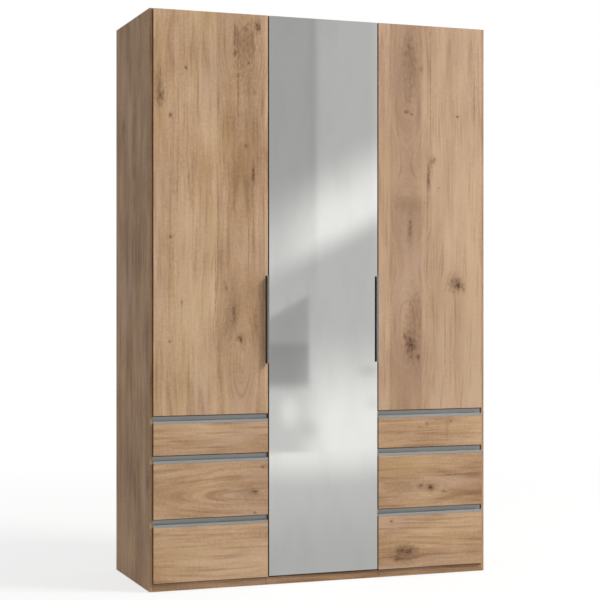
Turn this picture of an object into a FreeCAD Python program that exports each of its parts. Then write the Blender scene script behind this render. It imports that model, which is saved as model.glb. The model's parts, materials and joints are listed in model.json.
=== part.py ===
import FreeCAD, Part

import os
import re

import Sketcher

# A free-standing wardrobe, 1500 mm wide and 2360 mm tall, in three bays of equal width.
# The left and right bays have a hinged door above three drawers. The middle bay has one tall
# door faced with a mirror. The origin is on the floor, under the middle of the whole object's
# box. +Z is up, the fronts look towards -Y, and left and right are as a person facing them says.

DIMENSIONS = [
    # carcass
    ("wardrobe_width", 1500),
    ("wardrobe_height", 2360),
    ("carcass_depth", 560),
    ("board_thickness", 16),
    ("cover_thickness", 12),
    ("cover_lead", 10),
    ("top_thickness", 22),
    ("glide_height", 1),
    ("glide_radius", 9),
    ("floor_lift", 51),
    ("plinth_gap", 3),
    ("plinth_joint", 1),
    # back
    ("back_thickness", 3),
    ("back_inset", 8),
    ("groove_depth", 5),
    ("groove_play", 0.5),
    ("strip_web", 1.5),
    ("strip_flange", 30),
    ("strip_thickness", 1),
    # fronts
    ("front_thickness", 18),
    ("front_gap", 2),
    ("front_inset", 13.5),
    ("front_joint", 5),
    ("front_spacing", 4),
    ("front_bottom", 35),
    ("top_reveal", 2),
    ("mirror_lift", 3),
    ("mirror_thickness", 3),
    ("tall_front_height", 254),
    ("low_front_height", 157),
    # grip strips along the top of the drawer fronts
    ("grip_height", 29),
    ("grip_lip_height", 11),
    ("grip_depth", 18),
    ("grip_wall", 1.5),
    # door handles
    ("handle_reach", 20),
    ("handle_blade", 4),
    ("handle_foot", 2),
    ("handle_notch", 11),
    ("handle_bottom", 919),
    ("handle_length", 362),
    # drawer boxes
    ("box_lift", 45),
    ("box_length", 450),
    ("box_wall", 12),
    ("tall_box_height", 170),
    ("low_box_height", 85),
    ("bottom_thickness", 3),
    ("bottom_lift", 10),
    ("bottom_groove", 5),
    # roller runners
    ("runner_gap", 12.5),
    ("runner_sheet", 1.2),
    ("runner_axle_lift", 12),
    ("runner_play", 0.3),
    ("roller_radius", 8),
    ("roller_width", 6),
    ("roller_reach", 3.5),
    ("axle_radius", 2),
    # hinges
    ("cup_radius", 17.5),
    ("cup_depth", 11.5),
    ("cup_wall", 1.2),
    ("cup_edge_distance", 22.5),
    ("cup_play", 0.2),
    ("cup_flange_length", 56),
    ("cup_flange_width", 20),
    ("cup_flange_thickness", 1.2),
    ("arm_length", 60),
    ("arm_height", 14),
    ("arm_thickness", 10),
    ("arm_start", 1),
    ("plate_thickness", 2),
    ("plate_height", 50),
    ("plate_width", 12),
    ("plate_setback", 31),
    ("hinge_end_distance", 100),
    # shelves, rails and small fittings
    ("hat_shelf_height", 2020),
    ("shelf_depth", 480),
    ("rail_drop", 60),
    ("rail_half_height", 15),
    ("rail_half_width", 7.5),
    ("rail_wall", 1.2),
    ("rail_collar", 2),
    ("collar_length", 10),
    ("bracket_sheet", 2),
    ("pin_radius", 2.5),
    ("pin_length", 8),
    ("pin_inset", 40),
    ("bumper_radius", 2.4),
    ("bumper_thickness", 1.8),
    ("bumper_inset", 40),
    ("anchor_spacing", 1000),
    ("anchor_hole_radius", 3),
    ("anchor_height", 2300),
    ("anchor_leg", 60),
    ("anchor_width", 40),
]

MIDDLE_SHELVES = 4
SIDE_DOOR_HINGES = 4
MIRROR_DOOR_HINGES = 5

# Lines that many pieces share, as formulas of the sheet's aliases.
FRONT_FACE = "(handle_reach / 2 - (carcass_depth + front_gap + front_thickness) / 2)"
FRONT_BACK = f"({FRONT_FACE} + front_thickness)"
CARCASS_FRONT = f"({FRONT_BACK} + front_gap)"
CARCASS_BACK = f"({CARCASS_FRONT} + carcass_depth)"
BACK_PANEL_FRONT = f"({CARCASS_BACK} - back_inset - back_thickness)"
INNER_DEPTH = f"({BACK_PANEL_FRONT} - {CARCASS_FRONT})"
SIDE_FACE = "(wardrobe_width / 2 - cover_thickness - board_thickness)"
BAY_PITCH = "((wardrobe_width - 2 * front_inset) / 3)"
PARTITION = f"({BAY_PITCH} / 2)"
PARTITION_BAY_FACE = f"({PARTITION} + board_thickness / 2)"
PARTITION_MIDDLE_FACE = f"({PARTITION} - board_thickness / 2)"
FRONT_EDGE = "(wardrobe_width / 2 - front_inset)"
FRONT_SIDE_WIDTH = f"({BAY_PITCH} - front_joint / 2)"
FRONT_MIDDLE_WIDTH = f"({BAY_PITCH} - front_joint)"
DOOR_BOTTOM = "(front_bottom + 2 * tall_front_height + low_front_height + 3 * front_spacing)"
DOOR_TOP = "(wardrobe_height - top_reveal)"
FLOOR_TOP = "(floor_lift + board_thickness)"
CEILING = "(wardrobe_height - top_thickness)"
COVER_BOARD = f"({DOOR_BOTTOM} - board_thickness / 2 - front_spacing / 2)"

# For each bay: where its inner space starts and how wide it is.
BAYS = {
    "left": (f"-{SIDE_FACE}", f"({SIDE_FACE} - {PARTITION_BAY_FACE})"),
    "middle": (f"-{PARTITION_MIDDLE_FACE}", f"(2 * {PARTITION_MIDDLE_FACE})"),
    "right": (PARTITION_BAY_FACE, f"({SIDE_FACE} - {PARTITION_BAY_FACE})"),
}

# For each plinth: where its facing starts and ends, in front of the sides' edges.
PLINTHS = {
    "left": (f"(-{SIDE_FACE} - board_thickness)", f"(-{PARTITION_BAY_FACE})"),
    "middle": (f"(-{PARTITION_BAY_FACE})", PARTITION_BAY_FACE),
    "right": (PARTITION_BAY_FACE, f"({SIDE_FACE} + board_thickness)"),
}

# For each column of fronts: where it starts and how wide it is.
COLUMNS = {
    "left": (f"-{FRONT_EDGE}", FRONT_SIDE_WIDTH),
    "middle": (f"(front_joint / 2 - {PARTITION})", FRONT_MIDDLE_WIDTH),
    "right": (f"({PARTITION} + front_joint / 2)", FRONT_SIDE_WIDTH),
}

# For each drawer level: its front's lower edge, its front's height and its box's height.
LEVELS = {
    "lower": ("front_bottom", "tall_front_height", "tall_box_height"),
    "centre": ("(front_bottom + tall_front_height + front_spacing)",
               "tall_front_height", "tall_box_height"),
    "upper": ("(front_bottom + 2 * tall_front_height + 2 * front_spacing)",
              "low_front_height", "low_box_height"),
}

ALIASES = re.compile(r"\b(" + "|".join(alias for alias, value in DIMENSIONS) + r")\b")
ALONG_X = FreeCAD.Rotation(FreeCAD.Vector(0, 1, 0), 90)
ALONG_Y = FreeCAD.Rotation(FreeCAD.Vector(1, 0, 0), -90)
UPRIGHT_OVAL = FreeCAD.Rotation(FreeCAD.Vector(0, 1, 0), -90)
HALF_TURN = FreeCAD.Rotation(FreeCAD.Vector(0, 0, 1), 180)

doc = FreeCAD.newDocument("Wardrobe")
subparts = []


# ---------------------------------------------------------------- helpers

def make_sheet():
    """The spreadsheet that holds every driving dimension, in millimetres."""
    sheet = doc.addObject("Spreadsheet::Sheet", "Sizes")
    for row, (alias, value) in enumerate(DIMENSIONS, start=1):
        sheet.set(f"A{row}", str(value))
        sheet.setAlias(f"A{row}", alias)
    doc.recompute()
    return sheet


def linked(formula):
    """The formula with each alias written as a reference to the sheet."""
    return ALIASES.sub(r"Sizes.\1", formula)


def bind(thing, **formulas):
    """Tie properties to formulas. Double underscores stand for the dots in a property's path."""
    for path, formula in formulas.items():
        thing.setExpression(path.replace("__", "."), linked(formula))


def place(thing, x="0", y="0", z="0"):
    """Tie a thing's place to three formulas."""
    bind(thing, Placement__Base__x=x, Placement__Base__y=y, Placement__Base__z=z)
    return thing


def turn(thing, rotation):
    """Turn a thing about its own origin."""
    thing.Placement = FreeCAD.Placement(FreeCAD.Vector(), rotation)
    return thing


def subpart(thing, label):
    """Name a finished thing as a sub-part of the wardrobe."""
    thing.Label = label
    subparts.append(thing)
    return thing


def box(name, corner, size):
    """A rectangular block from its low corner and its size, each three formulas."""
    block = doc.addObject("Part::Box", name)
    bind(block, Length=size[0], Width=size[1], Height=size[2])
    return place(block, *corner)


def cylinder(name, centre, radius, length, rotation=None):
    """A round bar that starts at a point and runs up, or along the turned axis."""
    bar = doc.addObject("Part::Cylinder", name)
    if rotation:
        turn(bar, rotation)
    bind(bar, Radius=radius, Height=length)
    return place(bar, *centre)


def oval(name, centre, half_height, half_width, length):
    """An upright oval bar that starts at a point and runs along +X."""
    outline = turn(doc.addObject("Part::Ellipse", f"{name}_outline"), UPRIGHT_OVAL)
    bind(outline, MajorRadius=half_height, MinorRadius=half_width)
    place(outline, *centre)
    bar = doc.addObject("Part::Extrusion", name)
    bar.Base = outline
    bar.DirMode = "Custom"
    bar.Dir = FreeCAD.Vector(1, 0, 0)
    bar.Solid = True
    bind(bar, LengthFwd=length)
    return bar


def fuse(name, things):
    """One solid out of several that touch."""
    whole = doc.addObject("Part::MultiFuse", name)
    whole.Shapes = things
    return whole


def cut(name, base, tool):
    """A solid with another taken out of it."""
    rest = doc.addObject("Part::Cut", name)
    rest.Base = base
    rest.Tool = tool
    return rest


def group(name, things):
    """Separate solids kept together as one set of like pieces."""
    whole = doc.addObject("Part::Compound", name)
    whole.Links = things
    return whole


def origin_plane(body, role):
    """One of a body's own origin planes."""
    return next(item for item in body.Origin.OriginFeatures if item.Role == role)


def fix_corner(sketch, edge, point):
    """Hold the first corner of a sketch's edge at a point given as two formulas."""
    for kind, formula, axis in (("DistanceX", point[0], -2), ("DistanceY", point[1], -1)):
        if formula == "0":
            sketch.addConstraint(Sketcher.Constraint("PointOnObject", edge, 1, axis))
        else:
            value = sheet.evalExpression(linked(formula))
            index = sketch.addConstraint(Sketcher.Constraint(kind, -1, 1, edge, 1, value))
            sketch.setExpression(f"Constraints[{index}]", linked(formula))


def profile(name, plane, corners, length, reverse=False):
    """A straight length of a profile. Its corners, as formulas, lie in one origin plane."""
    body = doc.addObject("PartDesign::Body", name)
    sketch = body.newObject("Sketcher::SketchObject", f"{name}_sketch")
    sketch.AttachmentSupport = [(origin_plane(body, plane), "")]
    sketch.MapMode = "FlatFace"
    points = [FreeCAD.Vector(*(sheet.evalExpression(linked(part)) for part in corner), 0)
              for corner in corners]
    for start, end in zip(points, points[1:] + points[:1]):
        sketch.addGeometry(Part.LineSegment(start, end))
    for edge, corner in enumerate(corners):
        sketch.addConstraint(Sketcher.Constraint("Coincident", edge - 1 if edge else len(corners) - 1, 2,
                                                 edge, 1))
        fix_corner(sketch, edge, corner)
    pad = body.newObject("PartDesign::Pad", f"{name}_pad")
    pad.Profile = sketch
    pad.Reversed = reverse
    bind(pad, Length=length)
    body.Tip = pad
    sketch.Visibility = False
    return body


# ---------------------------------------------------------------- carcass

def side_panel(label, start, groove_start):
    """A carcass side with the groove that holds the back."""
    panel = box(f"{label}_board", (start, CARCASS_FRONT, "glide_height"),
                ("board_thickness", "carcass_depth", "wardrobe_height - glide_height"))
    groove = box(f"{label}_groove", (groove_start, BACK_PANEL_FRONT, "floor_lift"),
                 ("groove_depth", "back_thickness", "wardrobe_height"))
    subpart(cut(label, panel, groove), label)


def cover_side(label, start):
    """A thinner board outside a carcass side. It stands further forward, beside the fronts' edges."""
    subpart(box(label, (start, f"{CARCASS_FRONT} - cover_lead", "glide_height"),
                ("cover_thickness", "carcass_depth + cover_lead", "wardrobe_height - glide_height")),
            label)


def carcass():
    """Sides with their covers, partitions, top, floor boards and plinth boards."""
    side_panel("left_side_panel", f"-{SIDE_FACE} - board_thickness", f"-{SIDE_FACE} - groove_depth")
    side_panel("right_side_panel", SIDE_FACE, SIDE_FACE)
    cover_side("left_cover_side", "-wardrobe_width / 2")
    cover_side("right_cover_side", "wardrobe_width / 2 - cover_thickness")
    for label, centre in (("left_partition", f"-{PARTITION}"), ("right_partition", PARTITION)):
        subpart(box(label, (f"{centre} - board_thickness / 2", CARCASS_FRONT, "glide_height"),
                    ("board_thickness", INNER_DEPTH, f"{CEILING} - glide_height")), label)
    subpart(box("top_panel", (f"-{SIDE_FACE}", CARCASS_FRONT, CEILING),
                (f"2 * {SIDE_FACE}", INNER_DEPTH, "top_thickness")), "top_panel")
    for bay, (start, width) in BAYS.items():
        subpart(box(f"{bay}_floor_board", (start, CARCASS_FRONT, "floor_lift"),
                    (width, INNER_DEPTH, "board_thickness")), f"{bay}_floor_board")
        facing_start, facing_end = PLINTHS[bay]
        facing = box(f"{bay}_plinth_facing",
                     (f"{facing_start} + plinth_joint / 2", f"{CARCASS_FRONT} - cover_lead",
                      "glide_height"),
                     (f"{facing_end} - {facing_start} - plinth_joint", "cover_lead",
                      "front_bottom - plinth_gap - glide_height"))
        backing = box(f"{bay}_plinth_backing", (start, CARCASS_FRONT, "glide_height"),
                      (width, "board_thickness", "floor_lift - glide_height"))
        subpart(fuse(f"{bay}_plinth", [facing, backing]), f"{bay}_plinth_board")


def back():
    """Three thin back panels, with a strip over each of the two joints between them."""
    seam = f"({PARTITION} - strip_web / 2)"
    outer = f"({SIDE_FACE} + groove_depth - groove_play)"
    outer_width = f"({outer} - {PARTITION} - strip_web / 2)"
    starts = {"left": (f"-{outer}", outer_width),
              "middle": (f"-{seam}", f"2 * {seam}"),
              "right": (f"({PARTITION} + strip_web / 2)", outer_width)}
    panels = []
    for bay, (start, width) in starts.items():
        pane = box(f"{bay}_back_pane", (start, BACK_PANEL_FRONT, "floor_lift"),
                   (width, "back_thickness", f"{DOOR_TOP} - floor_lift"))
        if bay != "middle":
            side = "-" if bay == "left" else ""
            hole = cylinder(f"{bay}_anchor_hole",
                            (f"{side}anchor_spacing / 2", f"{BACK_PANEL_FRONT} - 1", "anchor_height"),
                            "anchor_hole_radius", "back_thickness + 2", ALONG_Y)
            pane = cut(f"{bay}_back_panel", pane, hole)
        panels.append(pane)
    subpart(group("back_panels", panels), "back_panels")

    web = "strip_web / 2"
    flange = "strip_flange / 2"
    rear = "back_thickness + strip_thickness"
    corners = [(f"-{web}", "0"), (web, "0"), (web, "back_thickness"), (flange, "back_thickness"),
               (flange, rear), (f"-{flange}", rear), (f"-{flange}", "back_thickness"),
               (f"-{web}", "back_thickness")]
    strips = []
    for side, centre in (("left", f"-{PARTITION}"), ("right", PARTITION)):
        strip = profile(f"{side}_joint_strip", "XY_Plane", corners, f"{DOOR_TOP} - floor_lift")
        strips.append(place(strip, centre, BACK_PANEL_FRONT, "floor_lift"))
    subpart(group("back_joint_strips", strips), "back_joint_strips")


def glides():
    """Round plastic glides under both sides and both partitions."""
    rows = (f"{CARCASS_FRONT} + 2 * glide_radius", f"{BACK_PANEL_FRONT} - 2 * glide_radius")
    columns = (f"-{SIDE_FACE} - board_thickness / 2", f"-{PARTITION}", PARTITION,
               f"{SIDE_FACE} + board_thickness / 2")
    discs = []
    for x in columns:
        for y in rows:
            discs.append(cylinder("glide", (x, y, "0"), "glide_radius", "glide_height"))
    subpart(group("floor_glides", discs), "floor_glides")


def anchor_bracket(name, centre):
    """A steel angle in an upper rear corner, with a hole for a screw into the wall."""
    rear = f"({BACK_PANEL_FRONT} - bracket_sheet)"
    upright = box(f"{name}_upright", (f"{centre} - anchor_width / 2", rear, f"{CEILING} - anchor_leg"),
                  ("anchor_width", "bracket_sheet", "anchor_leg"))
    ledge = box(f"{name}_ledge", (f"{centre} - anchor_width / 2", f"{rear} - anchor_leg / 2",
                                  f"{CEILING} - bracket_sheet"),
                ("anchor_width", "anchor_leg / 2", "bracket_sheet"))
    hole = cylinder(f"{name}_hole", (centre, f"{rear} - 1", "anchor_height"),
                    "anchor_hole_radius", "bracket_sheet + 2", ALONG_Y)
    return cut(name, fuse(f"{name}_angle", [upright, ledge]), hole)


def anchors():
    """The two brackets that hold the wardrobe to a wall so that it can't tip."""
    subpart(group("wall_brackets", [anchor_bracket("left_wall_bracket", "-anchor_spacing / 2"),
                                    anchor_bracket("right_wall_bracket", "anchor_spacing / 2")]),
            "wall_brackets")


# ---------------------------------------------------------------- inside the bays

def rail_bracket(name, wall, direction):
    """A plate on a bay's wall with a collar around the end of the clothes rail."""
    centre_y = f"({CARCASS_FRONT} + carcass_depth / 2)"
    centre_z = "(hat_shelf_height - rail_drop)"
    plate_x = wall if direction > 0 else f"{wall} - bracket_sheet"
    collar_x = wall if direction > 0 else f"{wall} - collar_length"
    plate = oval(f"{name}_plate", (plate_x, centre_y, centre_z),
                 "rail_half_height + 4 * rail_collar", "rail_half_width + 4 * rail_collar",
                 "bracket_sheet")
    collar = oval(f"{name}_collar", (collar_x, centre_y, centre_z),
                  "rail_half_height + rail_collar", "rail_half_width + rail_collar", "collar_length")
    socket_x = f"{wall} + bracket_sheet" if direction > 0 else f"{wall} - collar_length"
    socket = oval(f"{name}_socket", (socket_x, centre_y, centre_z),
                  "rail_half_height", "rail_half_width", "collar_length - bracket_sheet")
    return cut(name, fuse(f"{name}_body", [plate, collar]), socket)


def clothes_rail(name, start, width):
    """An oval steel tube across a bay."""
    centre = (f"{start} + bracket_sheet", f"({CARCASS_FRONT} + carcass_depth / 2)",
              "(hat_shelf_height - rail_drop)")
    length = f"{width} - 2 * bracket_sheet"
    skin = oval(f"{name}_skin", centre, "rail_half_height", "rail_half_width", length)
    bore = oval(f"{name}_bore", centre, "rail_half_height - rail_wall",
                "rail_half_width - rail_wall", length)
    return cut(name, skin, bore)


def shelf_pins(name, start, width, top):
    """Four round pins under the corners of a shelf."""
    pins = []
    for x in (start, f"{start} + {width} - pin_length"):
        for y in (f"{CARCASS_FRONT} + 2 * pin_inset", f"{CARCASS_FRONT} + shelf_depth"):
            pins.append(cylinder(name, (x, y, f"{top} - board_thickness - pin_radius"),
                                 "pin_radius", "pin_length", ALONG_X))
    return pins


def shelf(name, start, width, top):
    """A loose board that lies on four pins."""
    return box(name, (start, f"{CARCASS_FRONT} + pin_inset", f"{top} - board_thickness"),
               (width, "shelf_depth", "board_thickness"))


def interior():
    """Cover boards over the drawers, hat shelves, clothes rails and the middle bay's shelves."""
    rails = []
    brackets = []
    pins = []
    hat_shelves = []
    for bay in ("left", "right"):
        start, width = BAYS[bay]
        subpart(box(f"{bay}_drawer_cover_board", (start, CARCASS_FRONT, COVER_BOARD),
                    (width, INNER_DEPTH, "board_thickness")), f"{bay}_drawer_cover_board")
        hat_shelves.append(shelf(f"{bay}_hat_shelf", start, width, "hat_shelf_height"))
        pins += shelf_pins(f"{bay}_hat_shelf_pin", start, width, "hat_shelf_height")
        rails.append(clothes_rail(f"{bay}_clothes_rail", start, width))
        brackets.append(rail_bracket(f"{bay}_rail_start", start, 1))
        brackets.append(rail_bracket(f"{bay}_rail_end", f"{start} + {width}", -1))
    start, width = BAYS["middle"]
    shelves = []
    for number in range(1, MIDDLE_SHELVES + 1):
        top = f"({FLOOR_TOP} + {number} * ({CEILING} - {FLOOR_TOP}) / {MIDDLE_SHELVES + 1})"
        shelves.append(shelf(f"middle_shelf_{number}", start, width, top))
        pins += shelf_pins(f"middle_shelf_{number}_pin", start, width, top)
    subpart(group("hat_shelves", hat_shelves), "hat_shelves")
    subpart(group("middle_shelves", shelves), "middle_shelves")
    subpart(group("clothes_rails", rails), "clothes_rails")
    subpart(group("rail_brackets", brackets), "rail_brackets")
    subpart(group("shelf_pins", pins), "shelf_pins")


# ---------------------------------------------------------------- doors

def hinge_heights(bottom, count):
    """Formulas for the heights of a door's hinges, evenly spaced between its ends."""
    first = f"({bottom} + hinge_end_distance)"
    span = f"({DOOR_TOP} - hinge_end_distance - {first})"
    return [f"({first} + {number} * {span} / {count - 1})" for number in range(count)]


def hinge_cup(name, centre_x, z):
    """A steel cup sunk in a door's back, with its screwed flange."""
    floor = f"({FRONT_BACK} - cup_depth)"
    skin = cylinder(f"{name}_skin", (centre_x, floor, z), "cup_radius", "cup_depth", ALONG_Y)
    flange = box(f"{name}_flange", (f"{centre_x} - cup_flange_width / 2", FRONT_BACK,
                                    f"{z} - cup_flange_length / 2"),
                 ("cup_flange_width", "cup_flange_thickness", "cup_flange_length"))
    hollow = cylinder(f"{name}_hollow", (centre_x, f"{floor} + cup_wall", z),
                      "cup_radius - cup_wall", "cup_depth", ALONG_Y)
    return cut(name, fuse(f"{name}_body", [skin, flange]), hollow)


def hinge_arm(name, wall, direction, z):
    """A hinge's arm on its mounting plate, on the carcass wall beside the door's hinge edge."""
    def from_wall(distance, thickness):
        if direction > 0:
            return f"{wall} + {distance}"
        return f"{wall} - {distance} - {thickness}"

    plate = box(f"{name}_plate", (from_wall("0", "plate_thickness"), f"{CARCASS_FRONT} + plate_setback",
                                  f"{z} - plate_height / 2"),
                ("plate_thickness", "plate_width", "plate_height"))
    arm = box(f"{name}_bar", (from_wall("plate_thickness", "arm_thickness"),
                              f"{CARCASS_FRONT} + arm_start", f"{z} - arm_height / 2"),
              ("arm_thickness", "arm_length", "arm_height"))
    return fuse(name, [plate, arm])


def bored_door(label, board, holes):
    """A door board with its hinge bores, and its handle notch if it has one, taken out."""
    subpart(cut(label, board, fuse(f"{label}_holes", holes)), label)


def hinge_bores(label, centre_x, heights):
    """The round pockets in a door's back for its hinge cups."""
    floor = f"({FRONT_BACK} - cup_depth - cup_play)"
    return [cylinder(f"{label}_bore", (centre_x, floor, z), "cup_radius + cup_play",
                     "cup_depth + 1", ALONG_Y) for z in heights]


def handle_notch(name, free_edge):
    """The space along a door's free edge where its handle sits."""
    return box(name, (f"{free_edge} - handle_notch", f"{FRONT_FACE} - 1", "handle_bottom"),
               ("handle_notch + 1", "front_thickness + 2", "handle_length"))


def handle(label, free_edge):
    """An angle of sheet aluminium: its foot is in the notch, its blade stands out of the door."""
    blade = "handle_notch - handle_blade"
    back_line = "front_thickness + handle_reach"
    foot_line = f"{back_line} - handle_foot"
    corners = [("0", back_line), ("0", foot_line), (blade, foot_line), (blade, "0"),
               ("handle_notch", "0"), ("handle_notch", back_line)]
    bar = profile(label, "XY_Plane", corners, "handle_length")
    subpart(place(bar, f"{free_edge} - handle_notch", f"{FRONT_FACE} - handle_reach", "handle_bottom"),
            label)


def doors():
    """The two oak doors and the mirror door, with handles, hinge cups and hinge arms."""
    height = f"{DOOR_TOP} - {DOOR_BOTTOM}"
    mirror_bottom = "(front_bottom + mirror_lift)"
    side_heights = hinge_heights(DOOR_BOTTOM, SIDE_DOOR_HINGES)
    mirror_heights = hinge_heights(mirror_bottom, MIRROR_DOOR_HINGES)
    left_start, left_width = COLUMNS["left"]
    middle_start, middle_width = COLUMNS["middle"]
    right_start, right_width = COLUMNS["right"]

    left_cup = f"({left_start} + cup_edge_distance)"
    left_edge = f"({left_start} + {left_width})"
    board = box("left_door_board", (left_start, FRONT_FACE, DOOR_BOTTOM),
                (left_width, "front_thickness", height))
    bored_door("left_door_panel", board, hinge_bores("left_door", left_cup, side_heights)
               + [handle_notch("left_handle_notch", left_edge)])
    handle("left_door_handle", left_edge)

    right_cup = f"({right_start} + {right_width} - cup_edge_distance)"
    board = box("right_door_board", (right_start, FRONT_FACE, DOOR_BOTTOM),
                (right_width, "front_thickness", height))
    bored_door("right_door_panel", board, hinge_bores("right_door", right_cup, side_heights))

    middle_cup = f"({middle_start} + cup_edge_distance)"
    middle_edge = f"({middle_start} + {middle_width})"
    mirror_height = f"{DOOR_TOP} - {mirror_bottom}"
    board = box("middle_door_board", (middle_start, f"{FRONT_FACE} + mirror_thickness", mirror_bottom),
                (middle_width, "front_thickness - mirror_thickness", mirror_height))
    bored_door("middle_door_panel", board, hinge_bores("middle_door", middle_cup, mirror_heights)
               + [handle_notch("middle_handle_notch", middle_edge)])
    glass = box("mirror_sheet", (middle_start, FRONT_FACE, mirror_bottom),
                (middle_width, "mirror_thickness", mirror_height))
    subpart(cut("mirror_glass", glass, handle_notch("glass_notch", middle_edge)), "mirror_glass")
    handle("middle_door_handle", middle_edge)

    arms = []
    for door, cup, wall, direction, heights in (
            ("left", left_cup, f"-{SIDE_FACE}", 1, side_heights),
            ("middle", middle_cup, f"-{PARTITION_MIDDLE_FACE}", 1, mirror_heights),
            ("right", right_cup, SIDE_FACE, -1, side_heights)):
        cups = []
        for number, z in enumerate(heights, start=1):
            cups.append(hinge_cup(f"{door}_hinge_cup_{number}", cup, z))
            arms.append(hinge_arm(f"{door}_hinge_arm_{number}", wall, direction, z))
        subpart(group(f"{door}_door_hinge_cups", cups), f"{door}_door_hinge_cups")
    subpart(group("hinge_arms", arms), "hinge_arms")


def bumpers():
    """Small soft discs on the partitions' front edges, where the doors' free edges close."""
    quarter = "board_thickness / 4"
    spots = ((f"-{PARTITION} - {quarter}", DOOR_BOTTOM),
             (f"{PARTITION} - {quarter}", "front_bottom"),
             (f"{PARTITION} + {quarter}", DOOR_BOTTOM))
    discs = []
    for x, bottom in spots:
        for z in (f"{bottom} + bumper_inset", f"{DOOR_TOP} - bumper_inset"):
            discs.append(cylinder("bumper", (x, f"{CARCASS_FRONT} - bumper_thickness", z),
                                  "bumper_radius", "bumper_thickness", ALONG_Y))
    subpart(group("door_bumpers", discs), "door_bumpers")


# ---------------------------------------------------------------- drawers

def grip_strip(label, start, width, top):
    """The aluminium channel along a drawer front's top: a front lip, a floor and a rear wall."""
    lip = "grip_lip_height"
    rear = "grip_depth - grip_wall"
    corners = [("0", "0"), ("grip_depth", "0"), ("grip_depth", "grip_height"), (rear, "grip_height"),
               (rear, "grip_wall"), ("grip_wall", "grip_wall"), ("grip_wall", lip), ("0", lip)]
    strip = profile(label, "YZ_Plane", corners, width)
    subpart(place(strip, start, FRONT_FACE, f"{top} - grip_height"), label)


def drawer_box(label, start, width, bottom, height):
    """A folded drawer frame of two sides and a back, and the thin bottom in its groove."""
    inner_width = f"({width} - 2 * box_wall)"
    block = box(f"{label}_block", (start, FRONT_BACK, bottom), (width, "box_length", height))
    hollow = box(f"{label}_hollow", (f"{start} + box_wall", f"{FRONT_BACK} - 1", f"{bottom} - 1"),
                 (inner_width, "box_length - box_wall + 1", f"{height} + 2"))
    slot = box(f"{label}_slot", (f"{start} + box_wall - bottom_groove", f"{FRONT_BACK} - 1",
                                 f"{bottom} + bottom_lift"),
               (f"{inner_width} + 2 * bottom_groove", "box_length - box_wall + bottom_groove + 1",
                "bottom_thickness"))
    frame = cut(f"{label}_frame", block, fuse(f"{label}_cavity", [hollow, slot]))
    base = box(f"{label}_bottom", (f"{start} + box_wall - bottom_groove + groove_play", FRONT_BACK,
                                   f"{bottom} + bottom_lift"),
               (f"{inner_width} + 2 * bottom_groove - 2 * groove_play",
                "box_length - box_wall + bottom_groove - groove_play", "bottom_thickness"))
    subpart(group(label, [frame, base]), label)


def drawer_rail(name, wall, bottom, turned):
    """A drawer's steel rail: under the box side, up its face, and out over the fixed roller."""
    tread = "runner_axle_lift + roller_radius + runner_play"
    sheet_in = "runner_gap - runner_sheet"
    corners = [("roller_reach", tread), (sheet_in, tread), (sheet_in, "-runner_sheet"),
               ("runner_gap + box_wall", "-runner_sheet"), ("runner_gap + box_wall", "0"),
               ("runner_gap", "0"), ("runner_gap", f"{tread} + runner_sheet"),
               ("roller_reach", f"{tread} + runner_sheet")]
    rail = profile(name, "XZ_Plane", corners, "box_length", reverse=not turned)
    if turned:
        turn(rail, HALF_TURN)
    return place(rail, wall, FRONT_BACK, bottom)


def cabinet_rail(name, wall, bottom, turned):
    """A fixed steel rail on the bay's wall: the drawer's rear roller runs between its flanges."""
    low = "runner_axle_lift - roller_radius - runner_play"
    high = "runner_axle_lift + roller_radius + 2 * runner_play + 2 * runner_sheet"
    flange = "roller_reach + roller_width"
    corners = [("0", f"{low} - runner_sheet"), (flange, f"{low} - runner_sheet"), (flange, low),
               ("runner_sheet", low), ("runner_sheet", high), (flange, high),
               (flange, f"{high} + runner_sheet"), ("0", f"{high} + runner_sheet")]
    rail = profile(name, "XZ_Plane", corners, "box_length - 2 * roller_radius", reverse=not turned)
    if turned:
        turn(rail, HALF_TURN)
    return place(rail, wall, f"{CARCASS_FRONT} + 2 * roller_radius + 2 * front_gap", bottom)


def roller(name, wall, side, y, bottom, pin_start, pin_length):
    """A nylon roller beside a bay's wall, with the stub axle that joins it to its rail."""
    def from_wall(distance, length):
        if side == "left":
            return f"{wall} + {distance}"
        return f"{wall} - {distance} - {length}"

    height = f"{bottom} + runner_axle_lift"
    wheel = cylinder(f"{name}_wheel", (from_wall("roller_reach", "roller_width"), y, height),
                     "roller_radius", "roller_width", ALONG_X)
    axle = cylinder(f"{name}_axle", (from_wall(pin_start, pin_length), y, height),
                    "axle_radius", pin_length, ALONG_X)
    return fuse(name, [wheel, axle])


def runner_pair(name, bay, bottom):
    """The moving and the fixed runner pieces on both sides of one drawer."""
    start, width = BAYS[bay]
    moving = []
    fixed = []
    for side, wall in (("left", start), ("right", f"({start} + {width})")):
        turned = side == "right"
        moving.append(drawer_rail(f"{name}_{side}_rail", wall, bottom, turned))
        moving.append(roller(f"{name}_{side}_rear_roller", wall, side,
                             f"{FRONT_BACK} + box_length - roller_radius", bottom,
                             "(roller_reach + roller_width)",
                             "(runner_gap - runner_sheet - roller_reach - roller_width)"))
        fixed.append(cabinet_rail(f"{name}_{side}_fixed_rail", wall, bottom, turned))
        fixed.append(roller(f"{name}_{side}_front_roller", wall, side,
                            f"{CARCASS_FRONT} + roller_radius + front_gap", bottom,
                            "0", "roller_reach"))
    return moving, fixed


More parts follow.
